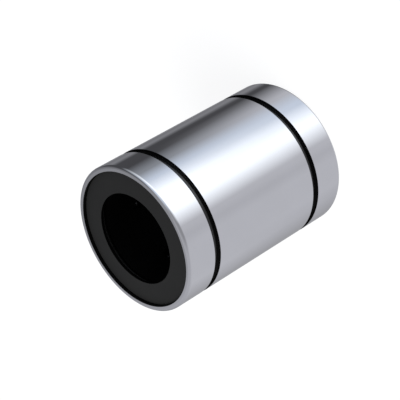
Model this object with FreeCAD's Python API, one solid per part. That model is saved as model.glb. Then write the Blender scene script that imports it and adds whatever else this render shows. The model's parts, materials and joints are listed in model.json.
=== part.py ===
import FreeCAD, Part
import math
import os

# Linear ball bearing for a 16 mm round shaft, metric series 16 x 26 x 36.
# It stands on its lower end face: Z is the shaft's axis, z = 0 is the lower end and all sizes are in mm.
# Both ends are alike, so each end's pieces are drawn at the lower end and mirrored to the upper one.

# Shaft, balls and the number of ball circuits round the shaft
shaft_d = 16.0
ball_d = 2.381
circuits = 5
turn_balls = 4
ball_spacing = 0.082
ball_play = 0.010

# Hardened steel sleeve
length = 36.0
sleeve_wall = 1.5
relief_depth = 1.099
land_width = 3.3
land_setback = 0.4
edge_round = 0.5
rim_width = 0.975
recess_depth = 1.5

# Two snap-ring grooves round the outside, the pitch taken over their outer walls
groove_pitch = 24.8
groove_width = 1.25
groove_depth = 0.55
groove_edge = 0.06

# Moulded cage that leads the balls round
return_rise = 0.75
turn_lean = 16.0
channel_play = 0.10
junction_step = 0.02
cage_play = 0.10
cage_shaft_gap = 0.25
cage_end_wall = 1.20
cage_end_play = 0.05
collar_step = 0.20
collar_end_gap = 0.25
cage_chamfer = 0.25

# Retaining rings, sprung into grooves inside the sleeve, that hold the cage endways
ring_inset = 0.60
ring_thickness = 0.80
ring_width = 1.35
ring_bite = 0.50
ring_play = 0.05
ring_gap_angle = 24.0
ring_chamfer = 0.10

# End seals, rubber moulded on a steel ring
seal_play = 0.03
lip_play = 0.05
face_depth_at_rim = 0.65
face_depth_at_lip = 0.38
lip_edge = 0.08
lip_width = 0.52
lip_root_width = 0.60
case_thickness = 0.50
case_bore_step = 1.15
case_chamfer = 0.08
wrap_width = 0.40
wrap_thickness = 0.12

# Radii that follow from the driving sizes
shaft_r = shaft_d / 2
ball_r = ball_d / 2
loaded_r = shaft_r + ball_play + ball_r
return_r = loaded_r + return_rise
land_r = loaded_r + ball_r + ball_play
relief_r = land_r + relief_depth
outer_r = relief_r + sleeve_wall
recess_r = outer_r - rim_width
cage_bore_r = shaft_r + cage_shaft_gap
cage_r = relief_r - cage_play
slot_floor_r = land_r - cage_play
collar_r = slot_floor_r - collar_step
ring_groove_r = relief_r + ring_bite
ring_r = ring_groove_r - ring_play
channel_r = ball_r + channel_play
past_r = outer_r + 1.0

# Ball circuit: the balls keep one pitch along the straights and round the half-circle turns
pitch = ball_d + ball_spacing
turn_r = turn_balls * pitch / math.pi
turn_step = 180.0 / turn_balls
lean = math.radians(turn_lean)
row_angle = math.acos((loaded_r ** 2 + return_r ** 2 - 4 * turn_r ** 2) / (2 * loaded_r * return_r))

# Heights above the lower end face
middle = length / 2
ring_groove_start = recess_depth + ring_inset
ring_groove_end = ring_groove_start + ring_thickness + ring_play
cage_start = ring_groove_end + cage_end_play
collar_start = recess_depth + collar_end_gap
turn_reach = cage_end_wall + channel_r + turn_r * math.cos(lean)
row_balls = math.floor((length - 2 * cage_start - 2 * turn_reach) / pitch)
row_length = row_balls * pitch
row_start = middle - row_length / 2
row_end = middle + row_length / 2


def vec(x, y, z):
    return FreeCAD.Vector(x, y, z)


def lathe(points, angle=360.0):
    """Solid turned about Z from a closed outline of (radius, height) points."""
    corners = [vec(r, 0, z) for r, z in points]
    face = Part.Face(Part.makePolygon(corners + corners[:1]))
    return face.revolve(vec(0, 0, 0), vec(0, 0, 1), angle)


def turned(shape, degrees):
    """Copy of a shape turned about the shaft's axis."""
    copy = shape.copy()
    copy.rotate(vec(0, 0, 0), vec(0, 0, 1), degrees)
    return copy


def mirrored(shape):
    """Copy of a shape at the other end of the bearing."""
    return shape.mirror(vec(0, 0, middle), vec(0, 0, 1))


def around(shape):
    """One copy of a shape for each ball circuit."""
    return [turned(shape, 360.0 * i / circuits) for i in range(circuits)]


def ring_section(r0, r1, z0, z1, c):
    """Outline of a flat ring's section, from radius r0 to r1 and height z0 to z1, with its corners cut."""
    return [
        (r0 + c, z0), (r1 - c, z0), (r1, z0 + c), (r1, z1 - c),
        (r1 - c, z1), (r0 + c, z1), (r0, z1 - c), (r0, z0 + c),
    ]


# Middle of the loaded row and of the return row at the upper end, and the frame of the turn between them:
# across runs from one row to the other, up leans outwards from the axis, and out is square to both
loaded_top = vec(loaded_r, 0, row_end)
return_top = vec(return_r * math.cos(row_angle), return_r * math.sin(row_angle), row_end)
turn_centre = (loaded_top + return_top) * 0.5
across = (return_top - loaded_top).normalize()
outward = across.cross(vec(0, 0, 1))
up = vec(0, 0, 1) * math.cos(lean) + outward * math.sin(lean)
out = across.cross(up)


def sleeve_cavity():
    """Everything inside the sleeve: seal recesses, ring grooves and the relieved bore between the lands."""
    lower = [
        (0, -1), (recess_r, -1), (recess_r, recess_depth), (relief_r, recess_depth),
        (relief_r, ring_groove_start), (ring_groove_r, ring_groove_start),
        (ring_groove_r, ring_groove_end), (relief_r, ring_groove_end),
    ]
    upper = [(r, length - z) for r, z in reversed(lower)]
    cavity = lathe(lower + upper)
    half = row_length / 2 - land_setback
    rise = past_r - land_r
    ring = lathe([
        (land_r, middle - half), (past_r, middle - half - rise),
        (past_r, middle + half + rise), (land_r, middle + half),
    ])
    bar = Part.makeBox(past_r, land_width, length, vec(0, -land_width / 2, 0))
    return cavity.cut(around(ring.common(bar)))


def snap_groove():
    """Cutter for the lower snap-ring groove, with its two mouth edges broken."""
    bottom = outer_r - groove_depth
    start = middle - groove_pitch / 2
    end = start + groove_width
    return lathe([
        (bottom, start), (outer_r - groove_edge, start), (outer_r + groove_edge, start - 2 * groove_edge),
        (outer_r + groove_edge, end + 2 * groove_edge), (outer_r - groove_edge, end), (bottom, end),
    ])


def outer_sleeve():
    """Steel sleeve with five raised raceway lands inside and two snap-ring grooves outside."""
    blank = Part.makeCylinder(outer_r, length)
    ends = [e for e in blank.Edges if isinstance(e.Curve, Part.Circle)]
    blank = blank.makeFillet(edge_round, ends)
    groove = snap_groove()
    return blank.cut([sleeve_cavity(), groove, mirrored(groove)])


def channel_section():
    """Section of a ball channel in the XZ plane: round at the bottom, open towards +X, centred on zero."""
    left = vec(0, 0, -channel_r)
    right = vec(0, 0, channel_r)
    far_left = vec(past_r, 0, -channel_r)
    far_right = vec(past_r, 0, channel_r)
    round_bottom = Part.Arc(left, vec(-channel_r, 0, 0), right).toShape()
    sides = [Part.makeLine(right, far_right), Part.makeLine(far_right, far_left), Part.makeLine(far_left, left)]
    return Part.Face(Part.Wire([round_bottom] + sides))


def straight_channel(radius, angle):
    """Channel for a straight row of balls at a radius and angle, from one turn to the other."""
    section = channel_section()
    section.rotate(vec(0, 0, 0), vec(1, 0, 0), 90)
    section.translate(vec(radius, 0, row_start))
    return turned(section.extrude(vec(0, 0, row_length)), math.degrees(angle))


def turn_channel():
    """Half-circle channel round the upper end of a circuit, open outwards like the straights."""
    section = channel_section()
    # stands the section up so that it opens along the turn's own axis, then moves it out to the turn's radius
    section.rotate(vec(0, 0, 0), vec(0, 1, 0), -90)
    section.translate(vec(turn_r, 0, 0))
    half = section.revolve(vec(0, 0, 0), vec(0, 0, 1), 180)
    place = FreeCAD.Matrix(
        across.x, up.x, out.x, turn_centre.x,
        across.y, up.y, out.y, turn_centre.y,
        across.z, up.z, out.z, turn_centre.z,
        0, 0, 0, 1,
    )
    half.Placement = FreeCAD.Placement(place).multiply(half.Placement)
    return half


def junction_pocket(centre):
    """Round-bottomed pocket that joins a straight channel to a turn, open away from the shaft."""
    radius = channel_r + junction_step
    slant = radius * math.sqrt(0.5)
    start = vec(0, 0, -radius)
    edge = vec(radius, 0, 0)
    lip = vec(radius, 0, past_r)
    end = vec(0, 0, past_r)
    arc = Part.Arc(start, vec(slant, 0, -slant), edge).toShape()
    sides = [Part.makeLine(edge, lip), Part.makeLine(lip, end), Part.makeLine(end, start)]
    pocket = Part.Face(Part.Wire([arc] + sides)).revolve(vec(0, 0, 0), vec(0, 0, 1), 360)
    away = vec(centre.x, centre.y, 0)
    pocket.Placement = FreeCAD.Placement(centre, FreeCAD.Rotation(vec(0, 0, 1), away))
    return pocket


def ball_cage():
    """One-piece cage, keyed on the lands, with a loaded row, a return row and two turns for each circuit."""
    c = cage_chamfer
    lower = [
        (cage_bore_r, collar_start), (collar_r - c, collar_start), (collar_r, collar_start + c),
        (collar_r, cage_start), (cage_r - c, cage_start), (cage_r, cage_start + c),
    ]
    upper = [(r, length - z) for r, z in reversed(lower)]
    body = lathe(lower + upper)
    slot_width = land_width + 2 * cage_play
    slot = Part.makeBox(past_r, slot_width, length, vec(0, -slot_width / 2, 0))
    slot = slot.cut(Part.makeCylinder(slot_floor_r, length))
    turn = turn_channel()
    pockets = [junction_pocket(loaded_top), junction_pocket(return_top)]
    cutters = [slot, straight_channel(loaded_r, 0), straight_channel(return_r, row_angle), turn, mirrored(turn)]
    cutters += pockets + [mirrored(pocket) for pocket in pockets]
    for cutter in cutters:
        body = body.cut(around(cutter))
    return body


def balls_at(centres):
    """Balls with their centres at the given points."""
    return Part.makeCompound([Part.makeSphere(ball_r, centre) for centre in centres])


def row_of_balls(radius, angle):
    """Straight row of balls between the two turns."""
    x = radius * math.cos(angle)
    y = radius * math.sin(angle)
    return balls_at([vec(x, y, row_start + (i + 0.5) * pitch) for i in range(row_balls)])


def turn_of_balls():
    """Balls evenly round the upper turn, half a step in from each straight."""
    steps = [math.radians((i + 0.5) * turn_step) for i in range(turn_balls)]
    return balls_at([turn_centre + (across * math.cos(a) + up * math.sin(a)) * turn_r for a in steps])


def retaining_ring():
    """Flat open ring, sprung into the groove inside the lower end of the sleeve."""
    bottom = ring_groove_start + ring_play / 2
    section = ring_section(ring_r - ring_width, ring_r, bottom, bottom + ring_thickness, ring_chamfer)
    return turned(lathe(section, 360.0 - ring_gap_angle), ring_gap_angle / 2)


def seal_case():
    """Steel ring that stiffens the lower seal and seats on the shoulder of the recess."""
    top = recess_depth
    bore = shaft_r + case_bore_step
    section = ring_section(bore, recess_r - seal_play, top - case_thickness, top, case_chamfer)
    return lathe(section)


def seal_lip():
    """Rubber of the lower seal: the dished outer face, the lip at the shaft and a wrap behind the steel ring."""
    rim = recess_r - seal_play
    lip_r = shaft_r + lip_play
    bore = shaft_r + case_bore_step
    front = recess_depth - case_thickness
    back = recess_depth + wrap_thickness
    c = case_chamfer
    return lathe([
        (rim, face_depth_at_rim), (lip_r + lip_edge, face_depth_at_lip), (lip_r, face_depth_at_lip + lip_edge),
        (lip_r, face_depth_at_lip + lip_width), (lip_r + lip_root_width, back), (bore + wrap_width, back),
        (bore + wrap_width, recess_depth), (bore + c, recess_depth), (bore, recess_depth - c),
        (bore, front + c), (bore + c, front), (rim - c, front), (rim, front + c),
    ])


pieces = {
    "outer_sleeve": outer_sleeve(),
    "ball_cage": ball_cage(),
}

ends = {
    "retaining_ring": retaining_ring(),
    "seal_case": seal_case(),
    "seal_lip": seal_lip(),
}
for name, piece in ends.items():
    pieces["lower_" + name] = piece
    pieces["upper_" + name] = mirrored(piece)

loaded_row = row_of_balls(loaded_r, 0)
return_row = row_of_balls(return_r, row_angle)
upper_turn = turn_of_balls()
trains = {
    "loaded_balls": loaded_row,
    "return_balls": return_row,
    "upper_turn_balls": upper_turn,
    "lower_turn_balls": mirrored(upper_turn),
}
for name, train in trains.items():
    for number, copy in enumerate(around(train), start=1):
        pieces[name + "_" + str(number)] = copy

os.makedirs("parts", exist_ok=True)
for name, piece in pieces.items():
    piece.exportStep("parts/" + name + ".step")
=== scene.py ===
import json
import math

import bmesh
import bpy
import numpy as np
from mathutils import Matrix, Vector


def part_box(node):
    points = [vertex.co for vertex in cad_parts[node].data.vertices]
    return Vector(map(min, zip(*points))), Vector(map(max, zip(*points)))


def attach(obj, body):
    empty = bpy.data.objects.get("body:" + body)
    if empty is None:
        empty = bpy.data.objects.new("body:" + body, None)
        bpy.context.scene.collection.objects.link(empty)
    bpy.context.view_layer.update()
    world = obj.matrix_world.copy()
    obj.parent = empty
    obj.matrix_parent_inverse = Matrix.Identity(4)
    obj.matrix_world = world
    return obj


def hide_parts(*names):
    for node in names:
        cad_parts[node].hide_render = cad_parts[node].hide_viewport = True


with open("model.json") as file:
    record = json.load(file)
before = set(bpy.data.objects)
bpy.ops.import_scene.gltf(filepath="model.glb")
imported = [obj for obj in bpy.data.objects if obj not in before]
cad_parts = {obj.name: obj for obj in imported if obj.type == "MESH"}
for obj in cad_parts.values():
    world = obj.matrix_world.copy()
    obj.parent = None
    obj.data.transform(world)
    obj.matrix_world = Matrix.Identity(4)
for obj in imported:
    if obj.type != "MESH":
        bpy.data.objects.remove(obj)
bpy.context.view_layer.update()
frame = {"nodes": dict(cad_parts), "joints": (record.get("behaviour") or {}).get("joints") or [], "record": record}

# Outer sleeve.
# A turned tube of bearing steel, hardened, then ground bright on the outside, on both end rims and on the
# five raceway lands inside. The grooves and recesses are turned before hardening and keep its black scale.
mm = 0.001
# sizes that differ by less than a hair count as the same
hair = 0.001 * mm
mounts = {mount["name"]: mount for mount in frame["record"]["mounts"]}
length = mounts["upper_end_face"]["pos_m"][2]
middle = length / 2
outer_r = mounts["housing_seat"]["dims"]["r_mm"] * mm
edge_round = 0.5 * mm
recess_r = 12.025 * mm
# the seal's steel ring sits on the floor of its recess
recess_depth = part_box("lower_seal_case")[1][2]
relief_r = 11.5 * mm
land_r = 10.401 * mm
land_rise = relief_r - land_r
land_half_length = 8.2205 * mm
# the lands' angles are in degrees: half a land's width, and what the wall at its side takes up
land_half_angle = 8.65
land_side_angle = 0.07
circuits = 5
ring_groove_r = 12.0 * mm
ring_groove_low, ring_groove_high = 2.1 * mm, 2.95 * mm
snap_groove = mounts["lower_snap_groove"]
snap_groove_r = snap_groove["dims"]["r_mm"] * mm
snap_groove_half = snap_groove["dims"]["length_mm"] / 2 * mm
snap_groove_low = snap_groove["pos_m"][2] - snap_groove_half
snap_groove_high = snap_groove["pos_m"][2] + snap_groove_half
mouth_break = 0.03 * mm
fine_break = 0.04 * mm
floor_break = 0.015 * mm
# the surface: how far its guard points lie from a corner, the degrees between its columns, and the turn above
# which an edge is shaded sharp
sleeve_guard = 0.02 * mm
sleeve_step = 1.2
sharp_turn = math.radians(35)


def rounded(corners, guard):
    """Closed outline of (radius, height) points whose corners are rounded.

    Each corner is (radius, height, rounding, steps). Its arc touches both sides at rounding * tan(turn / 2)
    from the corner, and a guard point lies a little before and after it, so that smooth shading keeps the
    flats flat.
    """
    places = np.array([corner[:2] for corner in corners])
    onward = np.roll(places, -1, axis=0) - places
    onward /= np.linalg.norm(onward, axis=1)[:, None]
    inward = np.roll(onward, 1, axis=0)
    pieces = []
    for place, before, after, (_, _, rounding, steps) in zip(places, inward, onward, corners):
        turn = math.atan2(before[0] * after[1] - before[1] * after[0], before @ after)
        reach = rounding * math.tan(abs(turn) / 2)
        swing = np.linspace(0, 1, steps + 1)[:, None] * turn
        across = np.array([-before[1], before[0]]) * math.copysign(1, turn)
        start = place - before * reach
        arc = start + across * rounding * (1 - np.cos(swing)) + before * rounding * np.sin(np.abs(swing))
        pieces.append(np.vstack([start - before * guard, arc, place + after * (reach + guard)]))
    return pieces


def turned_surface(name, radius, height, angles):
    """Closed surface turned about the shaft's axis.

    Point (i, j) is (radius cos angle, radius sin angle, height), with the outline's row i and the angle of
    column j. Both directions close on themselves, and each face is the quad between two rows and two columns.
    """
    rows, columns = radius.shape
    points = np.stack([radius * np.cos(angles), radius * np.sin(angles), height], axis=-1)
    index = np.arange(rows * columns).reshape(rows, columns)
    right = np.roll(index, -1, axis=1)
    faces = np.stack([index, right, np.roll(right, -1, axis=0), np.roll(index, -1, axis=0)], axis=-1)
    mesh = bpy.data.meshes.new(name)
    mesh.from_pydata(points.reshape(-1, 3).tolist(), [], faces.reshape(-1, 4).tolist())
    mesh.shade_smooth()
    mesh.set_sharp_from_angle(angle=sharp_turn)
    piece = bpy.data.objects.new(name, mesh)
    bpy.context.scene.collection.objects.link(piece)
    return piece


# lower half of the outline, from the bore outwards and up, then the same at the upper end
half_outline = [
    (relief_r, ring_groove_high, fine_break, 3), (ring_groove_r, ring_groove_high, fine_break, 3),
    (ring_groove_r, ring_groove_low, fine_break, 3), (relief_r, ring_groove_low, fine_break, 3),
    (relief_r, recess_depth, fine_break, 3), (recess_r, recess_depth, fine_break, 3),
    (recess_r, 0.0, fine_break, 3), (outer_r, 0.0, edge_round, 12),
    (outer_r, snap_groove_low, mouth_break, 3), (snap_groove_r, snap_groove_low, floor_break, 2),
    (snap_groove_r, snap_groove_high, floor_break, 2), (outer_r, snap_groove_high, mouth_break, 3),
]
other_half = [(r, length - z, rounding, steps) for r, z, rounding, steps in reversed(half_outline)]
foot = land_half_length + land_rise
land_rows = [[relief_r, middle + z] for z in (foot, land_half_length, 0.0, -land_half_length, -foot)]
outline = np.vstack(rounded(half_outline + other_half, sleeve_guard) + [land_rows])
# columns lie evenly round the sleeve, with two more at each side of a land for its wall
land_middles = np.arange(circuits)[:, None] * 360.0 / circuits
low_sides = land_middles + np.array([-land_side_angle, 0.0]) - land_half_angle
high_sides = land_middles + np.array([0.0, land_side_angle]) + land_half_angle
sides = np.concatenate([low_sides, high_sides]).ravel() % 360
angles = np.unique(np.concatenate([np.arange(0, 360, sleeve_step), sides]))
half_sector = 180.0 / circuits
off_middle = np.abs((angles + half_sector) % (2 * half_sector) - half_sector)
on_land = off_middle < land_half_angle + land_side_angle / 2
# the land's height over the relief falls off at 45 degrees towards its ends
height = outline[:, 1]
rise = np.clip(foot - np.abs(height - middle), 0, land_rise) * (outline[:, 0] < relief_r + hair)
radius = outline[:, 0][:, None] - rise[:, None] * on_land[None, :]
height_grid = np.repeat(height[:, None], len(angles), axis=1)
sleeve = turned_surface("ground_steel_sleeve", radius, height_grid, np.radians(angles))


def to_linear(code):
    """An sRGB hex colour as linear light.

    Each channel c is c / 12.92 up to 0.04045, and ((c + 0.055) / 1.055) ** 2.4 above.
    """
    c = np.array([int(code[i:i + 2], 16) for i in (1, 3, 5)]) / 255
    return (*np.where(c <= 0.04045, c / 12.92, ((c + 0.055) / 1.055) ** 2.4).tolist(), 1.0)


def add_node(tree, kind, settings, inputs):
    """Adds a node, sets its settings, and gives each input a value or a link from another node's output."""
    node = tree.nodes.new("ShaderNode" + kind)
    for name, value in settings.items():
        setattr(node, name, value)
    for name, value in inputs.items():
        if isinstance(value, bpy.types.NodeSocket):
            tree.links.new(value, node.inputs[name])
        else:
            node.inputs[name].default_value = value
    return node


def empty_material(name):
    """A material with no nodes yet, and its node tree."""
    material = bpy.data.materials.new(name)
    material.use_nodes = True
    material.node_tree.nodes.clear()
    return material, material.node_tree


def distance_from_axis(tree, xyz):
    """Adds the nodes for a point's distance from the shaft's axis: the length of (x, y, 0)."""
    flat = add_node(tree, "CombineXYZ", {}, {"X": xyz.outputs["X"], "Y": xyz.outputs["Y"]})
    return add_node(tree, "VectorMath", {"operation": "LENGTH"}, {"Vector": flat.outputs["Vector"]})


# Hardened and ground bearing steel. The wheel leaves lines round the axis, about 0.05 mm apart. They are
# drawn 0.4 mm apart and faint, since finer ones don't show in the render: the eye gets a silky sheen round
# the sleeve, and patches of 7 mm where the tone drifts a little.
grind_line, steel_patch = 0.4 * mm, 7 * mm
ground_steel, tree = empty_material("ground_bearing_steel")
place = add_node(tree, "TexCoord", {}, {}).outputs["Object"]
xyz = add_node(tree, "SeparateXYZ", {}, {"Vector": place})
from_axis = distance_from_axis(tree, xyz)
# height less distance from the axis runs along the sleeve, and across its rims
along = add_node(tree, "Math", {"operation": "SUBTRACT"},
                 {0: xyz.outputs["Z"], 1: from_axis.outputs["Value"]})
line_place = add_node(tree, "CombineXYZ", {}, {"X": along.outputs["Value"]})
grind_lines = add_node(tree, "TexNoise", {}, {"Vector": line_place.outputs["Vector"], "Scale": 1 / grind_line,
                                              "Detail": 2.0, "Roughness": 0.6})
patches = add_node(tree, "TexNoise", {}, {"Vector": place, "Scale": 1 / steel_patch, "Detail": 3.0})
steel_colour = add_node(tree, "Mix", {"data_type": "RGBA"},
                        {"Factor": patches.outputs["Fac"], "A": to_linear("#c6c7ca"),
                         "B": to_linear("#cbccd0")})
steel_rough = add_node(tree, "MapRange", {}, {"Value": grind_lines.outputs["Fac"], "From Min": 0.3,
                                              "From Max": 0.7, "To Min": 0.04, "To Max": 0.07})
steel_bump = add_node(tree, "Bump", {}, {"Height": grind_lines.outputs["Fac"], "Strength": 0.02,
                                         "Distance": 0.01 * mm})
shader = add_node(tree, "BsdfPrincipled", {}, {"Base Color": steel_colour.outputs["Result"], "Metallic": 1.0,
                                               "Roughness": steel_rough.outputs["Result"],
                                               "Normal": steel_bump.outputs["Normal"]})
add_node(tree, "OutputMaterial", {}, {"Surface": shader.outputs["BSDF"]})

# Black scale on steel that was turned and then hardened: near black, half glossy, a little browner in spots
# of 1.2 mm. Its turning marks are too fine to show.
scale_spot = 1.2 * mm
scale_black, tree = empty_material("black_heat_scale_on_steel")
place = add_node(tree, "TexCoord", {}, {}).outputs["Object"]
scale_spots = add_node(tree, "TexNoise", {}, {"Vector": place, "Scale": 1 / scale_spot, "Detail": 4.0})
scale_colour = add_node(tree, "Mix", {"data_type": "RGBA"},
                        {"Factor": scale_spots.outputs["Fac"], "A": to_linear("#020202"),
                         "B": to_linear("#070606")})
scale_rough = add_node(tree, "MapRange", {},
                       {"Value": scale_spots.outputs["Fac"], "To Min": 0.17, "To Max": 0.26})
shader = add_node(tree, "BsdfPrincipled", {}, {"Base Color": scale_colour.outputs["Result"], "IOR": 1.5,
                                               "Specular IOR Level": 0.46,
                                               "Roughness": scale_rough.outputs["Result"]})
add_node(tree, "OutputMaterial", {}, {"Surface": shader.outputs["BSDF"]})

sleeve.data.materials.append(ground_steel)
sleeve.data.materials.append(scale_black)
# The wheel reaches the outside cylinder and the rims with their rounded edge, and inside only the raceways. A
# face lies between its outline point and the next one. The rim's broken inner edge stays black.
next_point = np.roll(outline, -1, axis=0)
inner_side = np.minimum(outline[:, 0], next_point[:, 0])
to_middle = np.minimum(np.abs(outline[:, 1] - middle), np.abs(next_point[:, 1] - middle))
on_outside = inner_side > outer_r - hair
on_rim = (inner_side > recess_r + fine_break - hair) & (to_middle > middle - edge_round - hair)
row_is_ground = on_outside | on_rim
row_is_raceway = np.minimum(rise, np.roll(rise, -1)) > land_rise - hair
column_is_land = on_land & np.roll(on_land, -1)
ground = row_is_ground[:, None] | (row_is_raceway[:, None] & column_is_land[None, :])
sleeve.data.polygons.foreach_set("material_index", (~ground).ravel().astype(np.int32))
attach(sleeve, "bearing_body")
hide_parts("outer_sleeve")

# Ball cage.
# One injection-moulded piece of black acetal, slipped in from one end and keyed on the lands. Its loops of
# channels lead the balls round; its shape is the CAD one, merged and shaded smooth between its real edges.
weld_distance = 0.0005 * mm
cage_sharp_turn = math.radians(30)
cage_mesh = frame["nodes"]["ball_cage"].data.copy()
cage_mesh.name = "moulded_ball_cage"
cage_mesh.materials.clear()
merged = bmesh.new()
merged.from_mesh(cage_mesh)
bmesh.ops.remove_doubles(merged, verts=merged.verts, dist=weld_distance)
merged.to_mesh(cage_mesh)
merged.free()
cage_mesh.shade_smooth()
cage_mesh.set_sharp_from_angle(angle=cage_sharp_turn)
cage = bpy.data.objects.new("moulded_ball_cage", cage_mesh)
bpy.context.scene.collection.objects.link(cage)

# Black acetal, moulded in a spark-eroded tool and wetted by grease: nearly without sheen, with a fine even
# grain of 0.15 mm. Its colour is a deeper black than the acetal's own, as painted shade of the bore it lies in.
mould_grain_width = 0.15 * mm
black_acetal, tree = empty_material("moulded_black_acetal")
place = add_node(tree, "TexCoord", {}, {}).outputs["Object"]
mould_grain = add_node(tree, "TexNoise", {}, {"Vector": place, "Scale": 1 / mould_grain_width, "Detail": 2.0})
# painted shade: both tones are darker than black acetal, for the shade deep inside the bore
acetal_and_shade_colour = add_node(tree, "Mix", {"data_type": "RGBA"},
                         {"Factor": mould_grain.outputs["Fac"], "A": to_linear("#010101"),
                          "B": to_linear("#030303")})
acetal_rough = add_node(tree, "MapRange", {},
                        {"Value": mould_grain.outputs["Fac"], "To Min": 0.5, "To Max": 0.65})
shader = add_node(tree, "BsdfPrincipled", {}, {"Base Color": acetal_and_shade_colour.outputs["Result"], "IOR": 1.48,
                                               "Specular IOR Level": 0.05,
                                               "Roughness": acetal_rough.outputs["Result"]})
add_node(tree, "OutputMaterial", {}, {"Surface": shader.outputs["BSDF"]})
cage_mesh.materials.append(black_acetal)
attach(cage, "bearing_body")
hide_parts("ball_cage")

# Balls.
# Polished balls of through-hardened chromium steel, 2.381 mm across, in five endless loops: seven under load
# against a land, seven going back, and four round each end. They lie loose in the cage's channels.
ball_r = 2.381 / 2 * mm
turn_balls = 4
ball_pitch = 2.463 * mm
turn_r = turn_balls * ball_pitch / math.pi

# Polished ball steel, coloured dark and dulled as painted shade, so that the balls deep in the bore show hardly
# a glint. It is lighter and glossier in patches about 0.8 mm wide, where the steel shows through.
ball_shade_patch_width = 0.8 * mm
ball_steel, tree = empty_material("greased_ball_steel")
place = add_node(tree, "TexCoord", {}, {}).outputs["Object"]
ball_shade_patches = add_node(tree, "TexNoise", {}, {"Vector": place, "Scale": 1 / ball_shade_patch_width, "Detail": 3.0})
ball_rough = add_node(tree, "MapRange", {},
                      {"Value": ball_shade_patches.outputs["Fac"], "To Min": 0.4, "To Max": 0.25})
# painted shade: the steel's tones are dark so that the balls in the bore give hardly a glint
ball_colour = add_node(tree, "Mix", {"data_type": "RGBA"},
                       {"Factor": ball_shade_patches.outputs["Fac"], "A": to_linear("#161617"),
                        "B": to_linear("#424346")})
shader = add_node(tree, "BsdfPrincipled", {}, {"Base Color": ball_colour.outputs["Result"], "Metallic": 1.0,
                                               "Roughness": ball_rough.outputs["Result"]})
add_node(tree, "OutputMaterial", {}, {"Surface": shader.outputs["BSDF"]})


def ball_train(name, centres, rings=10, sides=20):
    """Balls round the given centres.

    A point is centre + ball radius * (sin a cos b, sin a sin b, cos a), with a from pole to pole and b round
    the ball. The rings between the poles are quads, and a fan of triangles closes each pole.
    """
    a = np.linspace(0, math.pi, rings + 1)[1:-1, None]
    b = np.linspace(0, 2 * math.pi, sides, endpoint=False)[None, :]
    ring = np.stack([np.sin(a) * np.cos(b), np.sin(a) * np.sin(b), np.cos(a) + 0 * b], axis=-1)
    ring = ring.reshape(-1, 3)
    unit = np.vstack([ring, [[0, 0, 1], [0, 0, -1]]])
    grid = np.arange(len(ring)).reshape(rings - 1, sides)
    beside = np.roll(grid, -1, axis=1)
    quads = np.stack([grid[:-1], grid[1:], beside[1:], beside[:-1]], axis=-1).reshape(-1, 4)
    top = np.stack([np.full(sides, len(ring)), grid[0], beside[0]], axis=-1)
    bottom = np.stack([np.full(sides, len(ring) + 1), beside[-1], grid[-1]], axis=-1)
    points = centres[:, None, :] + ball_r * unit[None, :, :]
    first_point = (np.arange(len(centres)) * len(unit))[:, None, None]
    faces = []
    for kind in (quads, top, bottom):
        faces += (kind[None] + first_point).reshape(-1, kind.shape[1]).tolist()
    mesh = bpy.data.meshes.new(name)
    mesh.from_pydata(points.reshape(-1, 3).tolist(), [], faces)
    mesh.shade_smooth()
    mesh.materials.append(ball_steel)
    train = bpy.data.objects.new(name, mesh)
    bpy.context.scene.collection.objects.link(train)
    return train


hinges = {joint["child"]: joint for joint in frame["joints"] if joint["type"] == "hinge"}
for number in range(1, circuits + 1):
    for kind in ("loaded", "return"):
        node = f"{kind}_balls_{number}"
        low, high = (np.array(corner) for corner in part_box(node))
        count = round((high[2] - low[2] - 2 * ball_r) / ball_pitch) + 1
        line = np.repeat([(low + high) / 2], count, axis=0)
        line[:, 2] = low[2] + ball_r + ball_pitch * np.arange(count)
        train = ball_train(f"polished_balls_{kind}_{number}", line)
        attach(train, f"{kind}_row_{number}")
        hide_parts(node)
    for end, sign in (("upper", 1.0), ("lower", -1.0)):
        hinge = hinges[f"{end}_turn_{number}"]
        centre, out = np.array(hinge["pos_m"]), np.array(hinge["axis"])
        # across is level and square to the hinge's axis, and up is square to both, away from the rows
        across = np.cross([0, 0, 1], out)
        across /= np.linalg.norm(across)
        up = sign * np.cross(out, across)
        step = ((np.arange(turn_balls) + 0.5) * math.pi / turn_balls)[:, None]
        arc = centre + turn_r * (across * np.cos(step) + up * np.sin(step))
        train = ball_train(f"polished_balls_{end}_turn_{number}", arc)
        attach(train, f"{end}_turn_{number}")
        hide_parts(f"{end}_turn_balls_{number}")

# Retaining rings.
# Two open flat rings, blanked from spring steel, tempered, and sprung into the grooves inside the sleeve.
# They stop the cage endways. Hidden once the seals are in, so they keep their CAD shape.
temper_patch = 3 * mm
spring_steel, tree = empty_material("blued_spring_steel")
place = add_node(tree, "TexCoord", {}, {}).outputs["Object"]
# tempering leaves a blue-black oxide with paler patches a few millimetres wide
temper = add_node(tree, "TexNoise", {}, {"Vector": place, "Scale": 1 / temper_patch, "Detail": 4.0})
temper_colour = add_node(tree, "Mix", {"data_type": "RGBA"},
                         {"Factor": temper.outputs["Fac"], "A": to_linear("#4c4e54"),
                          "B": to_linear("#6f6f70")})
temper_rough = add_node(tree, "MapRange", {},
                        {"Value": temper.outputs["Fac"], "To Min": 0.3, "To Max": 0.45})
shader = add_node(tree, "BsdfPrincipled", {}, {"Base Color": temper_colour.outputs["Result"], "Metallic": 1.0,
                                               "Roughness": temper_rough.outputs["Result"]})
add_node(tree, "OutputMaterial", {}, {"Surface": shader.outputs["BSDF"]})
for end in ("lower", "upper"):
    frame["nodes"][f"{end}_retaining_ring"].data.materials.clear()
    frame["nodes"][f"{end}_retaining_ring"].data.materials.append(spring_steel)

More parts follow.
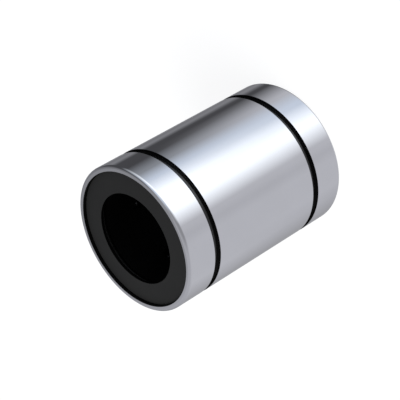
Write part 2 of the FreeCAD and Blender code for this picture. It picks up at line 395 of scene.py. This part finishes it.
# End seals.
# Nitrile rubber moulded on a pressed steel ring, pushed into the recess at each end. The outside face is
# dished a little and stands back from the rim, and its inner edge is the lip that wipes the shaft.
front_corner, back_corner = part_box("lower_seal_lip")
seal_rim_r = back_corner[0]
lip_r = mounts["shaft_bore"]["dims"]["r_mm"] * mm
case_bore_r = 9.15 * mm
case_front, case_back = (corner[2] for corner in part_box("lower_seal_case"))
face_depth_at_rim, face_depth_at_lip = 0.65 * mm, front_corner[2]
lip_back, lip_root_r = 0.90 * mm, 8.65 * mm
wrap_r, wrap_back = 9.55 * mm, back_corner[2]
rubber_edge, inner_edge, corner_edge = 0.06 * mm, 0.05 * mm, 0.02 * mm
seal_guard = 0.01 * mm
seal_step = 1.5

# Nitrile rubber, black with carbon, moulded in a blasted tool and dusted by a wax bloom: dark grey and matt,
# so that it stays even right up to the recess wall. The grain of 0.1 mm is drawn 0.3 mm wide so that it
# shows. The lip's wall and the rubber just round its edge are painted black, as painted shade of the bore.
grain_width, patch_width = 0.3 * mm, 4 * mm
bore_shade_from, bore_shade_to = lip_r + 0.005 * mm, lip_r + 0.04 * mm
nitrile, tree = empty_material("moulded_nitrile_rubber")
place = add_node(tree, "TexCoord", {}, {}).outputs["Object"]
xyz = add_node(tree, "SeparateXYZ", {}, {"Vector": place})
from_axis = distance_from_axis(tree, xyz)
# painted shade: black on the lip's wall and just round its edge, inside the bore
outside_bore_shade = add_node(tree, "MapRange", {}, {"Value": from_axis.outputs["Value"], "From Min": bore_shade_from,
                                         "From Max": bore_shade_to})
rubber_grain = add_node(tree, "TexNoise", {}, {"Vector": place, "Scale": 1 / grain_width, "Detail": 3.0})
rubber_patch = add_node(tree, "TexNoise", {}, {"Vector": place, "Scale": 1 / patch_width, "Detail": 2.0})
bulk_colour = add_node(tree, "Mix", {"data_type": "RGBA"},
                       {"Factor": rubber_patch.outputs["Fac"], "A": to_linear("#252525"),
                        "B": to_linear("#292928")})
rubber_colour = add_node(tree, "Mix", {"data_type": "RGBA"},
                         {"Factor": outside_bore_shade.outputs["Result"], "A": to_linear("#020202"),
                          "B": bulk_colour.outputs["Result"]})
rubber_rough = add_node(tree, "MapRange", {},
                        {"Value": rubber_grain.outputs["Fac"], "To Min": 0.45, "To Max": 0.6})
rubber_bump = add_node(tree, "Bump", {}, {"Height": rubber_grain.outputs["Fac"], "Strength": 0.1,
                                          "Distance": 0.01 * mm})
shader = add_node(tree, "BsdfPrincipled", {}, {"Base Color": rubber_colour.outputs["Result"], "IOR": 1.5,
                                               "Specular IOR Level": 0.04,
                                               "Roughness": rubber_rough.outputs["Result"],
                                               "Normal": rubber_bump.outputs["Normal"]})
add_node(tree, "OutputMaterial", {}, {"Surface": shader.outputs["BSDF"]})

# Pressed mild steel with a grey phosphate coat that the rubber bonds to: dull grey, fine crystals of 0.1 mm.
crystal_width = 0.1 * mm
phosphated, tree = empty_material("phosphated_pressed_steel")
place = add_node(tree, "TexCoord", {}, {}).outputs["Object"]
crystals = add_node(tree, "TexVoronoi", {}, {"Vector": place, "Scale": 1 / crystal_width})
phosphate_colour = add_node(tree, "Mix", {"data_type": "RGBA"},
                            {"Factor": crystals.outputs["Distance"], "A": to_linear("#55575a"),
                             "B": to_linear("#7d7f82")})
shader = add_node(tree, "BsdfPrincipled", {}, {"Base Color": phosphate_colour.outputs["Result"],
                                               "Metallic": 0.6, "Roughness": 0.55})
add_node(tree, "OutputMaterial", {}, {"Surface": shader.outputs["BSDF"]})


def counter_clockwise(outline):
    """The outline with its inside on the left, which makes the turned surface face outwards."""
    r, z = outline.T
    area = np.sum(r * np.roll(z, -1) - np.roll(r, -1) * z)
    return outline if area > 0 else outline[::-1]


# the rubber's outline at the lower end, from its rim in to the lip, back, and round the steel ring
lower_corners = [
    (seal_rim_r, face_depth_at_rim, rubber_edge, 3), (lip_r, face_depth_at_lip, rubber_edge, 4),
    (lip_r, lip_back, rubber_edge, 4), (lip_root_r, wrap_back, rubber_edge, 3),
    (wrap_r, wrap_back, inner_edge, 3), (wrap_r, case_back, corner_edge, 2),
    (case_bore_r, case_back, inner_edge, 2), (case_bore_r, case_front, inner_edge, 2),
    (seal_rim_r, case_front, inner_edge, 3),
]
upper_corners = [(r, length - z, rounding, steps) for r, z, rounding, steps in lower_corners]
seal_angles = np.radians(np.arange(0, 360, seal_step))
for end, corners in (("lower", lower_corners), ("upper", upper_corners)):
    seal_outline = counter_clockwise(np.vstack(rounded(corners, seal_guard)))
    rows = np.repeat(seal_outline[:, :, None], len(seal_angles), axis=2)
    lip = turned_surface(f"{end}_rubber_seal", rows[:, 0], rows[:, 1], seal_angles)
    lip.data.materials.append(nitrile)
    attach(lip, "bearing_body")
    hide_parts(f"{end}_seal_lip")
    frame["nodes"][f"{end}_seal_case"].data.materials.clear()
    frame["nodes"][f"{end}_seal_case"].data.materials.append(phosphated)

# Floor and studio.
# A matt white table inside a pale tent, with a long soft box low on the camera's right, a dark flag beside it
# and a soft lamp overhead. Plain white to the camera, with a faint shadow.
table_half = 2.0
paper_grain = 0.8 * mm
floor_mesh = bpy.data.meshes.new("studio_floor")
floor_corners = [(-table_half, -table_half, 0), (table_half, -table_half, 0),
                 (table_half, table_half, 0), (-table_half, table_half, 0)]
floor_mesh.from_pydata(floor_corners, [], [(0, 1, 2, 3)])
floor = bpy.data.objects.new("studio_floor", floor_mesh)
bpy.context.scene.collection.objects.link(floor)
white_table, tree = empty_material("matt_white_table")
path = add_node(tree, "LightPath", {}, {})
place = add_node(tree, "TexCoord", {}, {}).outputs["Object"]
paper = add_node(tree, "TexNoise", {}, {"Vector": place, "Scale": 1 / paper_grain, "Detail": 2.0})
paper_colour = add_node(tree, "Mix", {"data_type": "RGBA"},
                        {"Factor": paper.outputs["Fac"], "A": to_linear("#f4f4f4"),
                         "B": to_linear("#f8f8f8")})
matt = add_node(tree, "BsdfDiffuse", {}, {"Color": paper_colour.outputs["Result"]})
# to the camera the table is mostly white by itself, so that its shadow is faint
faint = add_node(tree, "BsdfDiffuse", {}, {"Color": to_linear("#7c7c7c")})
white = add_node(tree, "Emission", {}, {"Color": to_linear("#ffffff"), "Strength": 0.85})
seen = add_node(tree, "AddShader", {}, {0: white.outputs["Emission"], 1: faint.outputs["BSDF"]})
lit = add_node(tree, "MixShader", {}, {0: path.outputs["Is Camera Ray"], 1: matt.outputs["BSDF"],
                                       2: seen.outputs["Shader"]})
# the steel looks through it at the tent's lower half, whose table is one of the tones below
clear = add_node(tree, "BsdfTransparent", {}, {})
shown = add_node(tree, "MixShader", {}, {0: path.outputs["Is Glossy Ray"], 1: lit.outputs["Shader"],
                                         2: clear.outputs["BSDF"]})
add_node(tree, "OutputMaterial", {}, {"Surface": shown.outputs["Shader"]})
floor_mesh.materials.append(white_table)

overhead = bpy.data.lights.new("overhead_soft_lamp", "AREA")
overhead.shape = "DISK"
overhead.size = 0.5
overhead.energy = 3.4
lamp = bpy.data.objects.new("overhead_soft_lamp", overhead)
lamp.location = (-0.226, -0.251, 0.725)
lamp.rotation_euler = lamp.location.to_track_quat("Z", "Y").to_euler()
# the steel mirrors the tent only
lamp.visible_glossy = False
bpy.context.scene.collection.objects.link(lamp)

# All angles of the tent are in degrees, those round it counted from the camera's side. Its rings start and
# close at the seam in the back cloth.
camera_azimuth = 288.0
tent_seam = 160.0
tent_strength = 2.0
studio = bpy.data.worlds.new("pale_tent_studio")
studio.use_nodes = True
tree = studio.node_tree
tree.nodes.clear()
path = add_node(tree, "LightPath", {}, {})
direction = add_node(tree, "TexCoord", {}, {}).outputs["Generated"]
tent_turn = math.radians(180.0 - tent_seam - camera_azimuth)
turned_tent = add_node(tree, "Mapping", {"vector_type": "POINT"},
                       {"Vector": direction, "Rotation": (0.0, 0.0, tent_turn)})
xyz = add_node(tree, "SeparateXYZ", {}, {"Vector": turned_tent.outputs["Vector"]})
around = add_node(tree, "Math", {"operation": "ARCTAN2"}, {0: xyz.outputs["Y"], 1: xyz.outputs["X"]})
share = add_node(tree, "MapRange", {}, {"Value": around.outputs["Value"], "From Min": -math.pi,
                                        "From Max": math.pi})
climb = add_node(tree, "Math", {"operation": "ARCSINE"}, {0: xyz.outputs["Z"]})
# The tent's cloths and cards at four heights. Each keeps one tone from its first angle to its last one, and
# the light blends in between. The soft box widens and the flag narrows upwards. The camera looks in through a
# gap in the cloth, of which only a faint fold is left lower down, and the back cloth has a darker fold.
side_cloth, upper_cloth, back_cloth, shaded_back = "#a4a4a8", "#97979b", "#7d7d80", "#69696c"
cloth_fold, back_fold, dark_flag = "#9e9ea2", "#5d5d60", "#3c3c3e"
soft_box, box_glow, box_shade = "#f6fafe", "#b2bac6", "#76797e"
tent_rings = {
    -40.5: [(-90, -47, side_cloth), (-34, -31, cloth_fold), (-20, -16, side_cloth), (16, 21, soft_box),
            (52, 58, box_glow), (80, 84, side_cloth), (120, 126, dark_flag), (140, 147, shaded_back),
            (155, 157, back_fold), (164, 166, shaded_back), (-175, -154, back_cloth)],
    -35.0: [(-112, -47, side_cloth), (-34, -31, cloth_fold), (-21, -18, side_cloth), (8, 39, soft_box),
            (64, 65, box_glow), (83, 85, box_shade), (106, 129, dark_flag), (139, 142, shaded_back),
            (152, 156, back_fold), (164, 166, shaded_back), (-175, -156, back_cloth)],
    0.0: [(-95, -52, side_cloth), (-30, -12, back_cloth), (16, 55, soft_box), (101, 131, dark_flag),
          (148, -178, shaded_back), (-172, -160, back_cloth)],
    40.0: [(-176, -68, upper_cloth), (-37, 5, back_cloth), (37, 64, box_glow), (106, 112, dark_flag),
           (133, 162, shaded_back), (172, 179.5, back_cloth)],
}
tent, below = None, None
for height, cards in tent_rings.items():
    ring = add_node(tree, "ValToRGB", {}, {"Fac": share.outputs["Result"]})
    stops = ring.color_ramp.elements
    stops[0].color = stops[1].color = to_linear(shaded_back)
    for first, last, tone in cards:
        for angle in (first, last):
            stops.new((angle - tent_seam) % 360 / 360).color = to_linear(tone)
    if tent is None:
        tent = ring.outputs["Color"]
    else:
        between = add_node(tree, "MapRange", {}, {"Value": climb.outputs["Value"],
                                                  "From Min": math.radians(below),
                                                  "From Max": math.radians(height)})
        mix = add_node(tree, "Mix", {"data_type": "RGBA"},
                       {"Factor": between.outputs["Result"], "A": tent, "B": ring.outputs["Color"]})
        tent = mix.outputs["Result"]
    below = height
# the tent's roof and the pale table, each with the height at which it starts to show and the one past which
# nothing else does
roof, table = ("#88888b", 58, 80), ("#a8a8ac", -61, -72)
for tone, start, full in (roof, table):
    cap = add_node(tree, "MapRange", {"interpolation_type": "SMOOTHSTEP"},
                   {"Value": climb.outputs["Value"], "From Min": math.radians(start),
                    "From Max": math.radians(full)})
    mix = add_node(tree, "Mix", {"data_type": "RGBA"},
                   {"Factor": cap.outputs["Result"], "A": tent, "B": to_linear(tone)})
    tent = mix.outputs["Result"]
tent_light = add_node(tree, "Background", {}, {"Color": tent, "Strength": tent_strength})
backdrop = add_node(tree, "Background", {}, {"Color": to_linear("#ffffff"), "Strength": 1.0})
sky = add_node(tree, "MixShader", {}, {0: path.outputs["Is Camera Ray"], 1: tent_light.outputs["Background"],
                                       2: backdrop.outputs["Background"]})
add_node(tree, "OutputWorld", {}, {"Surface": sky.outputs["Shader"]})
bpy.context.scene.world = studio

# Camera.
# It looks down at the upper end and is rolled on its side, so that the standing bearing lies across the
# picture. Its place and its lens were fitted to the bearing's outlines.
camera_elevation = math.radians(35.672)
camera_roll = math.radians(120.347)
camera_place = Vector((66.896, -205.496, 175.692)) * mm
view_angle = math.radians(camera_azimuth - 180.0)
forward = Vector((math.cos(camera_elevation) * math.cos(view_angle),
                  math.cos(camera_elevation) * math.sin(view_angle), -math.sin(camera_elevation)))
level_right = forward.cross(Vector((0, 0, 1))).normalized()
level_up = level_right.cross(forward)
camera_up = level_up * math.cos(camera_roll) + level_right * math.sin(camera_roll)
camera_right = forward.cross(camera_up)
lens = bpy.data.cameras.new("product_camera")
lens.sensor_width = 36.0
lens.lens = 143.49
camera = bpy.data.objects.new("product_camera", lens)
camera.location = camera_place
camera.rotation_euler = Matrix((camera_right, camera_up, -forward)).transposed().to_euler()
bpy.context.scene.collection.objects.link(camera)
bpy.context.scene.camera = camera
bpy.context.scene.view_settings.view_transform = "Standard"
